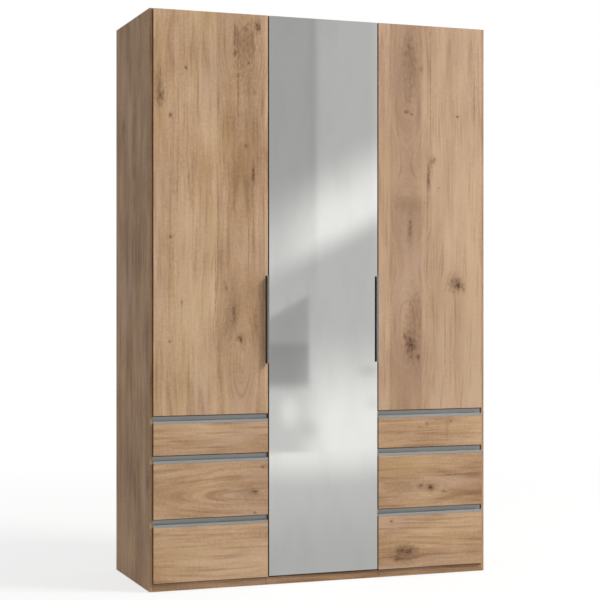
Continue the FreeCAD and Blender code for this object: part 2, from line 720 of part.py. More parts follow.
def drawers():
    """Six drawers: each has a front, a grip strip, a box and a pair of rails."""
    fixed_runners = []
    for bay in ("left", "right"):
        start, width = COLUMNS[bay]
        bay_start, bay_width = BAYS[bay]
        for level, (bottom, front_height, box_height) in LEVELS.items():
            name = f"{bay}_{level}_drawer"
            subpart(box(f"{name}_front", (start, FRONT_FACE, bottom),
                        (width, "front_thickness", f"{front_height} - grip_height")), f"{name}_front")
            grip_strip(f"{name}_grip_strip", start, width, f"({bottom} + {front_height})")
            box_bottom = f"({bottom} + box_lift)"
            drawer_box(f"{name}_box", f"({bay_start} + runner_gap)",
                       f"({bay_width} - 2 * runner_gap)", box_bottom, box_height)
            moving, fixed = runner_pair(name, bay, box_bottom)
            subpart(group(f"{name}_runners", moving), f"{name}_runners")
            fixed_runners += fixed
    subpart(group("cabinet_runners", fixed_runners), "cabinet_runners")


# ---------------------------------------------------------------- build, check and write

def check_document():
    """Stop if any object failed, or if a sub-part has no sound shape."""
    for thing in doc.Objects:
        if {"Invalid", "Error"} & set(thing.State):
            raise RuntimeError(f"{thing.Label} failed: {thing.State}")
    for thing in subparts:
        if thing.Shape.isNull() or not thing.Shape.isValid():
            raise RuntimeError(f"{thing.Label} has no valid shape")


def write_steps():
    """Write each sub-part to a STEP file that carries its name."""
    os.makedirs("parts", exist_ok=True)
    for thing in subparts:
        thing.Shape.exportStep(f"parts/{thing.Label}.step")


sheet = make_sheet()
carcass()
back()
glides()
anchors()
interior()
doors()
bumpers()
drawers()
doc.recompute()
check_document()
write_steps()

whole = Part.makeCompound([thing.Shape for thing in subparts]).BoundBox
print(len(subparts), "sub-parts,", round(whole.XLength), "x", round(whole.YLength), "x",
      round(whole.ZLength), "mm")
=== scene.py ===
import json
import math

import bpy
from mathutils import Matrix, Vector


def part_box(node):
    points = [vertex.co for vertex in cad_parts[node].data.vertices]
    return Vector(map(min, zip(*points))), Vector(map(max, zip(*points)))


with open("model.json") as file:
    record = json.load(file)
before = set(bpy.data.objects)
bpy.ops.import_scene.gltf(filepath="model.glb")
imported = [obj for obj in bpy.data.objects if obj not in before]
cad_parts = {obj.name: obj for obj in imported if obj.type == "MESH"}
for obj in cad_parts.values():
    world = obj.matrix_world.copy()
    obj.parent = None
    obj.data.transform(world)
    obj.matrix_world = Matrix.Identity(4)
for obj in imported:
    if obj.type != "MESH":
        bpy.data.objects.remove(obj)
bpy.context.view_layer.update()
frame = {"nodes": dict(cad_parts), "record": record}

# A three-door wardrobe with a mirror: its surfaces, rounded edges, light and camera.
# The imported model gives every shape. Lengths are metres in its frame: x to the right,
# y to the back and z up. In the oak, "across" is square to the grain and "along" with it.

NODES = frame["nodes"]
SLOT_OF = {part["node"]: part["material_slot"] for part in frame["record"]["subparts"]}


# ---------------------------------------------------------------- colours


def screen(red, green, blue):
    """A colour in 0-255 screen values, as the linear values that shaders take."""
    shares = [value / 255 for value in (red, green, blue)]
    return tuple(
        share / 12.92 if share <= 0.04045 else ((share + 0.055) / 1.055) ** 2.4
        for share in shares
    ) + (1.0,)


OAK_DEEP = screen(136, 99, 66)
OAK_DARK = screen(162, 124, 89)
OAK_MIDDLE = screen(183, 146, 110)
OAK_LIGHT = screen(203, 167, 130)
OAK_PALE = screen(216, 186, 149)
OAK_YELLOW = screen(190, 154, 105)
OAK_ROSE = screen(200, 168, 143)
OAK_BROWN = screen(118, 83, 54)
KNOT_DARK = screen(82, 55, 36)
OAK_TONES = (
    (0.0, OAK_DEEP),
    (0.28, OAK_DARK),
    (0.5, OAK_MIDDLE),
    (0.74, OAK_LIGHT),
    (1.0, OAK_PALE),
)
WHITE = (1.0, 1.0, 1.0, 1.0)


# ---------------------------------------------------------------- shader graphs

# A surface counts as facing along an axis when that part of its normal is above this.
FACING = 0.6


class Graph:
    """Short ways to write shader nodes. Each call adds nodes and gives back an output."""

    def __init__(self, tree):
        self.tree = tree

    def node(self, kind, **settings):
        made = self.tree.nodes.new(kind)
        for name, value in settings.items():
            setattr(made, name, value)
        return made

    def feed(self, socket, value):
        """Sets a socket to a number or colour, or links another node's output to it."""
        if isinstance(value, bpy.types.NodeSocket):
            self.tree.links.new(value, socket)
        else:
            socket.default_value = value

    def maths(self, operation, *values):
        made = self.node("ShaderNodeMath", operation=operation)
        for socket, value in zip(made.inputs, values):
            self.feed(socket, value)
        return made.outputs[0]

    def add(self, *values):
        total = values[0]
        for value in values[1:]:
            total = self.maths("ADD", total, value)
        return total

    def minus(self, one, other):
        return self.maths("SUBTRACT", one, other)

    def times(self, one, other):
        return self.maths("MULTIPLY", one, other)

    def over(self, one, other):
        return self.maths("DIVIDE", one, other)

    def root_of_squares(self, one, other):
        squares = self.add(self.times(one, one), self.times(other, other))
        return self.maths("SQRT", squares)

    def smooth(self, value, start, end, low=0.0, high=1.0):
        """Eases from low to high as value goes from start to end, which may be falling."""
        made = self.node("ShaderNodeMapRange", interpolation_type="SMOOTHSTEP")
        for name, given in (
            ("Value", value),
            ("From Min", start),
            ("From Max", end),
            ("To Min", low),
            ("To Max", high),
        ):
            self.feed(made.inputs[name], given)
        return made.outputs["Result"]

    def point(self, x, y, z):
        made = self.node("ShaderNodeCombineXYZ")
        for socket, value in zip(made.inputs, (x, y, z)):
            self.feed(socket, value)
        return made.outputs[0]

    def split(self, vector):
        made = self.node("ShaderNodeSeparateXYZ")
        self.feed(made.inputs[0], vector)
        return made.outputs

    def noise(self, x, y, z, detail=2.0):
        """Smooth noise about 0, one blob per unit of x, y and z."""
        made = self.node("ShaderNodeTexNoise")
        self.feed(made.inputs["Vector"], self.point(x, y, z))
        self.feed(made.inputs["Scale"], 1.0)
        self.feed(made.inputs["Detail"], detail)
        return self.minus(made.outputs["Fac"], 0.5)

    def streaks(self, one, other, size, seed, detail=2.0):
        """Noise with blobs of a given size in each of two directions."""
        first, second = size
        return self.noise(self.over(one, first), self.over(other, second), seed, detail)

    def blobs(self, size, detail=2.0):
        """Noise with blobs of one size in all three directions."""
        x, y, z = self.place()
        return self.noise(self.over(x, size), self.over(y, size), self.over(z, size), detail)

    def mix(self, share, low, high):
        made = self.node("ShaderNodeMix", data_type="RGBA")
        made.clamp_factor = True
        self.feed(made.inputs["Factor"], share)
        self.feed(made.inputs["A"], low)
        self.feed(made.inputs["B"], high)
        return made.outputs["Result"]

    def ramp(self, value, stops):
        """A colour ramp through (position, colour) stops."""
        made = self.node("ShaderNodeValToRGB")
        elements = made.color_ramp.elements
        while len(elements) < len(stops):
            elements.new(1.0)
        for element, (position, colour) in zip(elements, stops):
            element.position = position
            element.color = colour
        self.feed(made.inputs[0], value)
        return made.outputs["Color"]

    def steps(self, value, starts, amounts):
        """amounts[0], and from each further start onwards the next amount."""
        total = amounts[0]
        for start, before, after in zip(starts[1:], amounts, amounts[1:]):
            if after != before:
                passed = self.maths("GREATER_THAN", value, start)
                total = self.add(total, self.times(passed, after - before))
        return total

    def place(self):
        """x, y and z of the shaded point in the wardrobe's frame. They turn with a door."""
        return self.split(self.node("ShaderNodeTexCoord").outputs["Object"])

    def facing(self):
        """How far the surface faces x, y and z, each from 0 to 1."""
        normal = self.split(self.node("ShaderNodeTexCoord").outputs["Normal"])
        return [self.maths("ABSOLUTE", part) for part in normal]

    def face_plane(self):
        """Flat coordinates on any face of a board: sideways, and upward or to the back."""
        x, y, z = self.place()
        side_on, _, lying = self.facing()
        side_on = self.maths("GREATER_THAN", side_on, FACING)
        lying = self.maths("GREATER_THAN", lying, FACING)
        sideways = self.add(
            self.times(x, self.minus(1.0, side_on)), self.times(y, side_on)
        )
        upward = self.add(self.times(z, self.minus(1.0, lying)), self.times(y, lying))
        return sideways, upward

    def worn_edge(self, radius=0.0015):
        """1 on rounded outer edges and 0 on the flats, a little broken up."""
        rounded = self.node("ShaderNodeBevel", samples=4)
        self.feed(rounded.inputs["Radius"], radius)
        surface = self.node("ShaderNodeNewGeometry")
        dot = self.node("ShaderNodeVectorMath", operation="DOT_PRODUCT")
        self.feed(dot.inputs[0], rounded.outputs["Normal"])
        self.feed(dot.inputs[1], surface.outputs["Normal"])
        rub = self.blobs(0.02)
        wear = self.smooth(dot.outputs["Value"], 0.99, 0.85)
        return self.times(wear, self.smooth(rub, -0.15, 0.15, 0.35, 1.0))

    def bump(self, height, strength, distance):
        made = self.node("ShaderNodeBump")
        self.feed(made.inputs["Strength"], strength)
        self.feed(made.inputs["Distance"], distance)
        self.feed(made.inputs["Height"], height)
        return made.outputs["Normal"]


def new_material(name):
    """A material, its graph and its shader."""
    material = bpy.data.materials.new(name)
    material.use_nodes = True
    return (
        material,
        Graph(material.node_tree),
        material.node_tree.nodes["Principled BSDF"],
    )


def new_group(name, inputs, outputs):
    """A node group with number sockets, its graph, its inputs by name and its output node."""
    tree = bpy.data.node_groups.new(name, "ShaderNodeTree")
    for direction, names in (("INPUT", inputs), ("OUTPUT", outputs)):
        for socket in names:
            tree.interface.new_socket(
                socket, in_out=direction, socket_type="NodeSocketFloat"
            )
    graph = Graph(tree)
    return tree, graph, graph.node("NodeGroupInput").outputs, graph.node("NodeGroupOutput")


def use_group(graph, tree, values):
    """Adds a group to a graph with its inputs in order, and gives back its outputs."""
    made = graph.node("ShaderNodeGroup", node_tree=tree)
    for socket, value in zip(made.inputs, values):
        graph.feed(socket, value)
    return made.outputs


# ---------------------------------------------------------------- oak

# How far the grain bends and the wood darkens round a knot, in radii of the knot.
FLOW_REACH = 1.5
HALO_REACH = 2.6

# The oak's pattern, as the size of its blobs across and along the grain.
PORES = (0.0007, 0.012)
FINE_LINES = (0.0028, 0.07)
THREADS = (0.0065, 0.13)
BANDS = (0.013, 0.30)
BROAD_BANDS = (0.050, 0.70)
CLOUDS = (0.15, 0.32)
FLECKS = (0.014, 0.011)
SPECKLES = (0.007, 0.016)
RAGGED_EDGES = (0.010, 0.022)
COLOUR_DRIFT = (0.11, 0.50)
SWAY = (0.25, 1.30)
RIPPLE = (0.025, 0.20)


def make_knot_group():
    """One knot. The grain flows round it as a stream flows round a stone."""
    tree, graph, given, result = new_group(
        "knot",
        (
            "Across",
            "Along",
            "Ragged",
            "Centre across",
            "Centre along",
            "Radius",
            "Stretch",
            "Strength",
        ),
        ("Push", "Core", "Halo"),
    )
    aside = graph.minus(given["Across"], given["Centre across"])
    ahead = graph.over(graph.minus(given["Along"], given["Centre along"]), given["Stretch"])
    distance = graph.root_of_squares(aside, ahead)
    reach = graph.times(given["Radius"], FLOW_REACH)
    reach_squared = graph.times(reach, reach)
    closeness = graph.over(
        reach_squared, graph.add(graph.times(distance, distance), reach_squared)
    )
    graph.feed(result.inputs["Push"], graph.times(graph.times(aside, closeness), -1.0))
    radii = graph.add(graph.over(distance, given["Radius"]), graph.times(given["Ragged"], 2.2))
    core = graph.smooth(radii, 1.3, 0.3)
    graph.feed(result.inputs["Core"], graph.times(core, given["Strength"]))
    halo = graph.smooth(radii, HALO_REACH, 0.6)
    graph.feed(result.inputs["Halo"], graph.times(halo, given["Strength"]))
    return tree


def make_patch_group():
    """One soft, ragged patch of another tone."""
    tree, graph, given, result = new_group(
        "patch",
        (
            "Across",
            "Along",
            "Ragged",
            "Centre across",
            "Centre along",
            "Half width",
            "Half length",
            "Strength",
        ),
        ("Amount",),
    )
    aside = graph.over(
        graph.minus(given["Across"], given["Centre across"]), given["Half width"]
    )
    ahead = graph.over(graph.minus(given["Along"], given["Centre along"]), given["Half length"])
    radii = graph.add(graph.root_of_squares(aside, ahead), graph.times(given["Ragged"], 1.6))
    amount = graph.times(graph.smooth(radii, 1.15, 0.1), given["Strength"])
    graph.feed(result.inputs["Amount"], amount)
    return tree


KNOT = make_knot_group()
PATCH = make_patch_group()


def growth_rings(graph, across, along, planks, eyes, seed):
    """Which growth ring a point lies in, in metres from the middle of the tree.

    Every plank is (start, middle, depth, slope): where it starts across the grain, where
    the tree's middle lies, and how deep under the surface, changing by slope along the
    plank. Where the middle is near, the rings show as long arches. At every eye (along,
    half length, lift) the middle comes nearer, so the rings close to long ovals.
    """
    starts = [plank[0] for plank in planks]
    middle, depth, slope = (
        graph.steps(across, starts, [plank[part] for plank in planks])
        for part in (1, 2, 3)
    )
    sway = graph.streaks(across, along, SWAY, seed)
    ripple = graph.streaks(across, along, RIPPLE, seed + 5)
    bent = graph.add(across, graph.times(sway, 0.06), graph.times(ripple, 0.006))
    rise = graph.noise(graph.over(along, 0.55), seed, 0.0)
    deep = graph.add(depth, graph.times(slope, along), graph.times(rise, 0.05))
    for centre, half_length, lift in eyes:
        away = graph.maths("ABSOLUTE", graph.minus(along, centre))
        deep = graph.add(deep, graph.smooth(away, half_length, 0.0, 0.0, -lift))
    return graph.root_of_squares(graph.minus(bent, middle), deep)


def plain_wood(graph, across, along, rings, fine, planks, seed, shift, rosy):
    """The colour of wood without knots, from its lines, bands, clouds, flecks and planks."""
    bands = graph.streaks(rings, along, BANDS, seed + 2)
    plank_tones = graph.steps(
        across, [plank[0] for plank in planks], [plank[4] for plank in planks]
    )
    tone = graph.add(
        0.5 + shift,
        graph.times(fine, 0.36),
        graph.times(graph.streaks(rings, along, THREADS, seed + 10), 0.38),
        graph.times(bands, 0.50),
        graph.times(graph.streaks(rings, along, BROAD_BANDS, seed + 3), 0.65),
        graph.times(graph.streaks(across, along, CLOUDS, seed + 4), 0.80),
        graph.times(graph.streaks(across, along, FLECKS, seed + 11, detail=3.0), 0.36),
        plank_tones,
    )
    colour = graph.ramp(tone, OAK_TONES)
    drift = graph.streaks(across, along, COLOUR_DRIFT, seed + 6)
    colour = graph.mix(graph.smooth(drift, 0.02, 0.22, 0.0, 0.45), colour, OAK_YELLOW)
    colour = graph.mix(graph.smooth(drift, -0.02, -0.22, 0.0, 0.45), colour, OAK_ROSE)
    if rosy:
        colour = graph.mix(rosy, colour, OAK_ROSE)
    ring_line = graph.smooth(bands, -0.07, -0.17)
    return graph.mix(graph.times(ring_line, 0.22), colour, OAK_BROWN)


def add_blemishes(graph, colour, across, along, ragged, patches, knots, seed):
    """Lays the patches over the wood's colour, and then the halos and cores of its knots."""
    speckle = graph.streaks(across, along, SPECKLES, seed + 7, detail=3.0)
    for patch in patches:
        amount = use_group(graph, PATCH, (across, along, ragged, *patch))["Amount"]
        if patch[-1] < 0:
            colour = graph.mix(graph.times(amount, -1.0), colour, OAK_PALE)
        else:
            colour = graph.mix(amount, colour, OAK_BROWN)
            spots = graph.smooth(graph.add(speckle, graph.times(amount, 0.22)), 0.17, 0.27)
            colour = graph.mix(graph.times(spots, amount), colour, KNOT_DARK)
    for knot in knots:
        colour = graph.mix(graph.times(knot["Halo"], 0.40), colour, OAK_BROWN)
    broken = graph.smooth(speckle, -0.08, 0.08, 0.35, 1.0)
    for knot in knots:
        colour = graph.mix(graph.times(knot["Core"], broken), colour, KNOT_DARK)
    return colour


def oak(
    name,
    grain,
    planks,
    eyes=(),
    knots=(),
    patches=(),
    seed=0.0,
    shift=0.0,
    rosy=0.0,
    edging_and_gap_shade=0.0,
):
    """Planked oak laminate with grain "upright" or "level".

    knots are (across, along, radius, stretch, strength), patches are (across, along,
    half width, half length, strength), where a negative strength lightens. shift makes
    the whole board lighter, rosy redder, and the last one darkens the narrow edges round a front
    with painted shade, the shade of the gaps between the fronts.
    """
    material, graph, shader = new_material(name)
    sideways, upward = graph.face_plane()
    across, along = (sideways, upward) if grain == "upright" else (upward, sideways)
    ragged = graph.streaks(across, along, RAGGED_EDGES, seed + 9, detail=3.0)
    made_knots = [use_group(graph, KNOT, (across, along, ragged, *knot)) for knot in knots]
    pushed = graph.add(across, *[knot["Push"] for knot in made_knots])
    rings = growth_rings(graph, pushed, along, planks, eyes, seed)

    fine = graph.streaks(rings, along, FINE_LINES, seed + 1)
    pore = graph.smooth(graph.streaks(across, along, PORES, seed + 8), 0.08, 0.20)
    colour = plain_wood(graph, across, along, rings, fine, planks, seed, shift, rosy)
    colour = add_blemishes(graph, colour, across, along, ragged, patches, made_knots, seed)
    colour = graph.mix(graph.times(pore, 0.18), colour, OAK_BROWN)
    colour = graph.mix(graph.times(graph.worn_edge(0.0025), 0.85), colour, OAK_BROWN)
    # Painted shade: the narrow edges of a front are darkened as the gaps between fronts are
    # shaded.
    if edging_and_gap_shade:
        narrow = graph.maths("LESS_THAN", graph.facing()[1], FACING)
        colour = graph.mix(graph.times(narrow, edging_and_gap_shade), colour, OAK_BROWN)
    graph.feed(shader.inputs["Base Color"], colour)

    gloss = graph.add(0.50, graph.times(fine, -0.25), graph.times(pore, 0.12))
    graph.feed(shader.inputs["Roughness"], gloss)
    shader.inputs["Specular IOR Level"].default_value = 0.35
    relief = graph.add(graph.times(fine, 0.8), graph.times(pore, -0.6))
    graph.feed(shader.inputs["Normal"], graph.bump(relief, 0.35, 0.0003))
    return material


# How much painted shade darkens the narrow edges round the doors and drawer fronts, as the shade
# in the gaps between them.
FRONT_GAP_SHADE = 0.85

# The looks of the boards, as oak() takes them. Planks are (start, middle of the tree, its
# depth, slope, tone).
LEFT_DOOR = {
    "planks": (
        (-1.00, -1.05, 0.03, 0.00, 0.02),
        (-0.648, -0.90, 0.03, 0.00, 0.06),
        (-0.470, -0.372, 0.045, 0.00, -0.12),
        (-0.262, -0.372, 0.045, 0.00, 0.10),
    ),
    "eyes": ((2.26, 0.20, 0.042), (0.93, 0.20, 0.043)),
    "knots": (
        (-0.600, 2.125, 0.0045, 1.3, 0.9),
        (-0.705, 2.005, 0.011, 2.2, 0.7),
        (-0.665, 1.930, 0.0055, 1.3, 1.0),
        (-0.388, 2.195, 0.0065, 1.2, 0.9),
        (-0.292, 2.312, 0.011, 1.8, 0.9),
        (-0.340, 2.298, 0.006, 1.5, 0.7),
        (-0.330, 2.155, 0.005, 1.5, 0.7),
        (-0.308, 2.040, 0.005, 1.5, 0.6),
        (-0.312, 1.700, 0.006, 6.0, 0.9),
        (-0.345, 1.815, 0.006, 1.2, 0.7),
        (-0.665, 1.437, 0.0055, 0.9, 1.0),
        (-0.668, 1.013, 0.005, 0.9, 0.9),
        (-0.618, 1.170, 0.003, 3.5, 0.7),
        (-0.366, 1.020, 0.013, 1.1, 0.9),
        (-0.430, 1.235, 0.006, 3.0, 0.6),
        (-0.395, 1.130, 0.008, 4.0, 0.6),
        (-0.392, 2.280, 0.0022, 28.0, 0.6),
        (-0.378, 2.050, 0.0022, 60.0, 0.55),
        (-0.475, 1.230, 0.0018, 60.0, 0.50),
        (-0.332, 1.430, 0.0018, 60.0, 0.50),
    ),
    "patches": (
        (-0.350, 2.240, 0.060, 0.12, 0.45),
        (-0.715, 2.050, 0.035, 0.11, 0.40),
        (-0.405, 1.120, 0.050, 0.17, 0.45),
        (-0.370, 0.880, 0.060, 0.16, 0.15),
        (-0.330, 1.850, 0.090, 0.55, 0.18),
        (-0.610, 1.400, 0.060, 0.45, -0.40),
        (-0.520, 2.200, 0.300, 0.35, 0.14),
        (-0.500, 1.150, 0.300, 0.55, -0.16),
    ),
    "seed": 2.0,
    # The shift lightens this door: partly its own paler tone, partly painted light making up for
    # the key light falling off towards the left.
    "shift": 0.14,
}
RIGHT_DOOR = {
    "planks": (
        (0.00, 0.60, 0.03, 0.00, 0.04),
        (0.302, 0.391, 0.060, 0.00, -0.30),
        (0.450, 0.391, 0.060, 0.00, -0.02),
        (0.497, 0.90, 0.03, 0.00, 0.08),
        (0.600, 1.00, 0.03, 0.00, 0.14),
    ),
    "eyes": ((2.10, 0.34, 0.058), (1.57, 0.18, 0.054), (1.06, 0.26, 0.056)),
    "knots": (
        (0.447, 2.170, 0.006, 1.4, 0.8),
        (0.390, 2.270, 0.005, 3.0, 0.5),
        (0.380, 1.985, 0.010, 0.6, 0.7),
        (0.402, 1.975, 0.008, 0.5, 0.6),
        (0.620, 1.973, 0.007, 0.6, 0.8),
        (0.482, 1.710, 0.006, 9.0, 0.85),
        (0.505, 1.780, 0.009, 1.5, 0.7),
        (0.530, 1.662, 0.004, 0.5, 0.6),
        (0.395, 1.490, 0.007, 6.0, 0.6),
        (0.622, 1.245, 0.015, 1.1, 1.0),
        (0.590, 1.262, 0.006, 1.0, 0.7),
        (0.650, 1.225, 0.006, 1.6, 0.7),
        (0.395, 0.990, 0.015, 1.8, 0.9),
        (0.435, 0.935, 0.007, 2.0, 0.7),
        (0.372, 1.030, 0.006, 2.5, 0.6),
        (0.700, 2.060, 0.0022, 45.0, 0.5),
        (0.491, 2.080, 0.0022, 110.0, 0.4),
        (0.476, 1.560, 0.0022, 60.0, 0.4),
        (0.560, 1.000, 0.0018, 70.0, 0.5),
    ),
    "patches": (
        (0.395, 2.180, 0.042, 0.20, 0.42),
        (0.400, 1.590, 0.110, 0.05, 0.30),
        (0.395, 1.470, 0.030, 0.12, 0.30),
        (0.410, 1.080, 0.045, 0.20, 0.38),
        (0.395, 0.980, 0.040, 0.07, 0.50),
        (0.610, 1.255, 0.055, 0.06, 0.45),
        (0.690, 1.200, 0.080, 0.60, -0.25),
        (0.520, 2.200, 0.300, 0.30, 0.13),
        (0.580, 1.650, 0.200, 0.35, -0.20),
        (0.540, 1.000, 0.250, 0.25, 0.10),
    ),
    "seed": 31.0,
    "shift": 0.05,
    "rosy": 0.40,
}

# One plank with straight grain.
STRAIGHT = ((-3.0, -0.6, 0.03, 0.0, 0.0),)

DRAWER_FRONTS = {
    "left_lower": {"planks": ((-3.0, -0.7, 0.05, 0.0, 0.03),), "seed": 44.0, "shift": 0.15},
    "left_centre": {
        "planks": ((-3.0, 0.385, -0.028, -0.115, 0.0),),
        "knots": (
            (0.390, -0.308, 0.007, 1.8, 1.0),
            (0.490, -0.270, 0.005, 1.3, 0.9),
            (0.303, -0.306, 0.004, 1.3, 0.8),
        ),
        "patches": ((0.385, -0.330, 0.050, 0.08, 0.30),),
        "seed": 52.0,
        "shift": 0.06,
    },
    "left_upper": {"planks": ((-3.0, -0.3, 0.05, 0.0, 0.03),), "seed": 63.0, "shift": 0.05},
    "right_lower": {
        "planks": ((-3.0, -0.4, 0.05, 0.0, 0.05),),
        "knots": (
            (0.238, 0.308, 0.006, 1.0, 0.7),
            (0.110, 0.350, 0.011, 1.6, 0.7),
            (0.105, 0.392, 0.012, 1.6, 0.8),
            (0.075, 0.330, 0.008, 1.6, 0.6),
        ),
        "patches": ((0.100, 0.370, 0.055, 0.075, 0.60),),
        "seed": 71.0,
        "shift": 0.03,
    },
    "right_centre": {
        "planks": ((-3.0, 0.378, 0.045, 0.04, 0.02),),
        "knots": (
            (0.383, 0.443, 0.006, 1.6, 0.9),
            (0.375, 0.493, 0.011, 1.3, 1.0),
            (0.357, 0.552, 0.005, 1.5, 0.6),
            (0.425, 0.590, 0.0020, 28.0, 0.7),
        ),
        "patches": ((0.378, 0.400, 0.035, 0.20, 0.25),),
        "seed": 85.0,
        "shift": -0.02,
    },
    "right_upper": {
        "planks": ((-3.0, -0.2, 0.05, 0.0, 0.04),),
        "knots": (
            (0.650, 0.475, 0.006, 1.0, 0.6),
            (0.635, 0.440, 0.003, 1.4, 0.6),
            (0.660, 0.585, 0.006, 1.0, 0.5),
        ),
        "patches": ((0.625, 0.570, 0.060, 0.012, 0.25),),
        "seed": 96.0,
        "shift": 0.04,
    },
}

# The plain upright boards, and the cover sides with their knots.
UPRIGHT = {
    "planks": (
        (-1.00, -0.60, 0.03, 0.00, -0.02),
        (-0.12, -0.02, 0.050, 0.00, -0.06),
        (0.12, 0.60, 0.03, 0.00, 0.02),
    ),
    "seed": 107.0,
    "shift": -0.02,
}
SIDE = {
    **UPRIGHT,
    "knots": (
        (-0.240, 0.450, 0.012, 2.5, 0.7),
        (0.160, 1.930, 0.010, 1.6, 0.5),
        (-0.040, 2.000, 0.006, 1.6, 0.5),
        (0.170, 0.915, 0.007, 1.0, 0.6),
    ),
    "patches": (
        (-0.06, 1.500, 0.06, 0.40, 0.20),
        (0.170, 1.920, 0.05, 0.05, 0.25),
        (-0.240, 0.500, 0.05, 0.25, 0.30),
    ),
}
DOORS = {"left": LEFT_DOOR, "middle": UPRIGHT, "right": RIGHT_DOOR}


# ---------------------------------------------------------------- other materials

LINEN_THREAD = 0.0011
LINEN_THREAD_LENGTH = 0.030


def linen_laminate(name, colour, seed=0.0, oak_edge=False):
    """Matt pale laminate printed with a linen weave of about 1 mm threads.

    With oak_edge the board's front edge has oak edging.
    """
    material, graph, shader = new_material(name)
    sideways, upward = graph.face_plane()
    warp = graph.streaks(sideways, upward, (LINEN_THREAD, LINEN_THREAD_LENGTH), seed)
    weft = graph.streaks(sideways, upward, (LINEN_THREAD_LENGTH, LINEN_THREAD), seed + 1)
    cloud = graph.streaks(sideways, upward, (0.15, 0.15), seed + 2)
    tone = graph.add(
        0.5, graph.times(warp, 0.9), graph.times(weft, 0.9), graph.times(cloud, 0.4)
    )
    darker = tuple(part * 0.72 for part in colour[:3]) + (1.0,)
    lighter = tuple(min(part * 1.15, 0.9) for part in colour[:3]) + (1.0,)
    shade = graph.ramp(tone, ((0.15, darker), (0.5, colour), (0.85, lighter)))
    shade = graph.mix(graph.times(graph.worn_edge(), 0.35), shade, lighter)
    if oak_edge:
        normal = graph.split(graph.node("ShaderNodeTexCoord").outputs["Normal"])
        in_front = graph.maths("LESS_THAN", normal[1], -FACING)
        lines = graph.streaks(sideways, upward, (0.003, 0.15), seed + 3)
        edging_and_gap_shade = graph.ramp(
            graph.add(0.5, graph.times(lines, 1.2)),
            ((0.0, OAK_DEEP), (0.5, OAK_DARK), (1.0, OAK_MIDDLE)),
        )
        shade = graph.mix(in_front, shade, edging_and_gap_shade)
    graph.feed(shader.inputs["Base Color"], shade)
    graph.feed(shader.inputs["Roughness"], graph.smooth(tone, 0.2, 0.8, 0.62, 0.5))
    shader.inputs["Specular IOR Level"].default_value = 0.3
    graph.feed(shader.inputs["Normal"], graph.bump(tone, 0.25, 0.0003))
    return material


def back_board():
    """Thin fibreboard, pale in front and raw brown behind."""
    material, graph, shader = new_material("back_board")
    x, _, z = graph.place()
    normal = graph.split(graph.node("ShaderNodeTexCoord").outputs["Normal"])
    behind = graph.maths("GREATER_THAN", normal[1], 0.3)
    fibre = graph.streaks(x, z, (0.004, 0.004), 0.0, detail=5.0)
    cloud = graph.streaks(x, z, (0.25, 0.25), 4.0)
    tone = graph.add(0.5, graph.times(fibre, 1.1), graph.times(cloud, 0.25))
    raw = graph.ramp(
        tone,
        ((0.1, screen(128, 98, 71)), (0.5, screen(156, 124, 93)), (0.9, screen(182, 151, 118))),
    )
    painted = graph.ramp(
        tone, ((0.1, screen(196, 190, 177)), (0.9, screen(216, 211, 199)))
    )
    graph.feed(shader.inputs["Base Color"], graph.mix(behind, painted, raw))
    graph.feed(shader.inputs["Roughness"], graph.add(0.55, graph.times(behind, 0.25)))
    graph.feed(shader.inputs["Normal"], graph.bump(fibre, 0.4, 0.0004))
    return material


# A door handle's front edge is painted darker than its blade, as painted shade. Its leg lies in
# the door's notch, behind the front of the door, and is painted with the notch's shade.
HANDLE_FRONT_SHADE = screen(122, 122, 119)
LEG_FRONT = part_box("left_door_panel")[0].y
LEG_BLEND = 0.002


def brushed_aluminium(name, grain, dark, light, metallic, leg_shade=None):
    """Satin anodised aluminium, brushed along the profile.

    On a handle, the leg behind its blade is painted with the notch's shade, and its front edge
    is painted with shade that makes it duller than the blade.
    """
    material, graph, shader = new_material(name)
    x, y, z = graph.place()
    lengthwise, sideways = (z, x) if grain == "upright" else (x, z)
    around = graph.add(sideways, y)
    lines = graph.streaks(around, lengthwise, (0.0004, 0.12), 1.0, detail=3.0)
    cloud = graph.streaks(around, lengthwise, (0.05, 0.2), 3.0)
    tone = graph.add(0.5, graph.times(lines, 0.9), graph.times(cloud, 0.5))
    colour = graph.ramp(tone, ((0.1, dark), (0.9, light)))
    colour = graph.mix(graph.times(graph.worn_edge(0.0008), 0.4), colour, light)
    if leg_shade:
        # Painted shade: faces looking to the front are darkened towards the dull front-edge
        # colour.
        in_front = graph.maths("GREATER_THAN", graph.facing()[1], FACING)
        colour = graph.mix(graph.times(in_front, 0.75), colour, HANDLE_FRONT_SHADE)
        # Painted shade: behind the front of the door, in the notch, the leg takes a painted
        # shade colour.
        behind = graph.smooth(y, LEG_FRONT - LEG_BLEND, LEG_FRONT)
        colour = graph.mix(graph.times(behind, 0.9), colour, leg_shade)
    graph.feed(shader.inputs["Base Color"], colour)
    shader.inputs["Metallic"].default_value = metallic
    graph.feed(shader.inputs["Roughness"], graph.smooth(tone, 0.1, 0.9, 0.34, 0.48))
    graph.feed(shader.inputs["Normal"], graph.bump(lines, 0.25, 0.0001))
    return material


def plated_steel(name, dark, light, roughness, cloud_size):
    """Nickel, zinc or chrome plating with faint clouds and hairline scratches."""
    material, graph, shader = new_material(name)
    x, y, z = graph.place()
    cloud = graph.blobs(cloud_size, detail=4.0)
    scratch = graph.noise(graph.over(x, 0.0006), graph.over(y, 0.0006), graph.over(z, 0.02))
    scratch = graph.smooth(scratch, 0.12, 0.22)
    colour = graph.ramp(graph.add(0.5, graph.times(cloud, 1.6)), ((0.1, dark), (0.9, light)))
    colour = graph.mix(graph.times(graph.worn_edge(0.0006), 0.4), colour, light)
    graph.feed(shader.inputs["Base Color"], colour)
    shader.inputs["Metallic"].default_value = 1.0
    graph.feed(
        shader.inputs["Roughness"],
        graph.add(roughness, graph.times(cloud, 0.2), graph.times(scratch, 0.10)),
    )
    relief = graph.add(cloud, graph.times(scratch, -0.4))
    graph.feed(shader.inputs["Normal"], graph.bump(relief, 0.12, 0.0001))
    return material


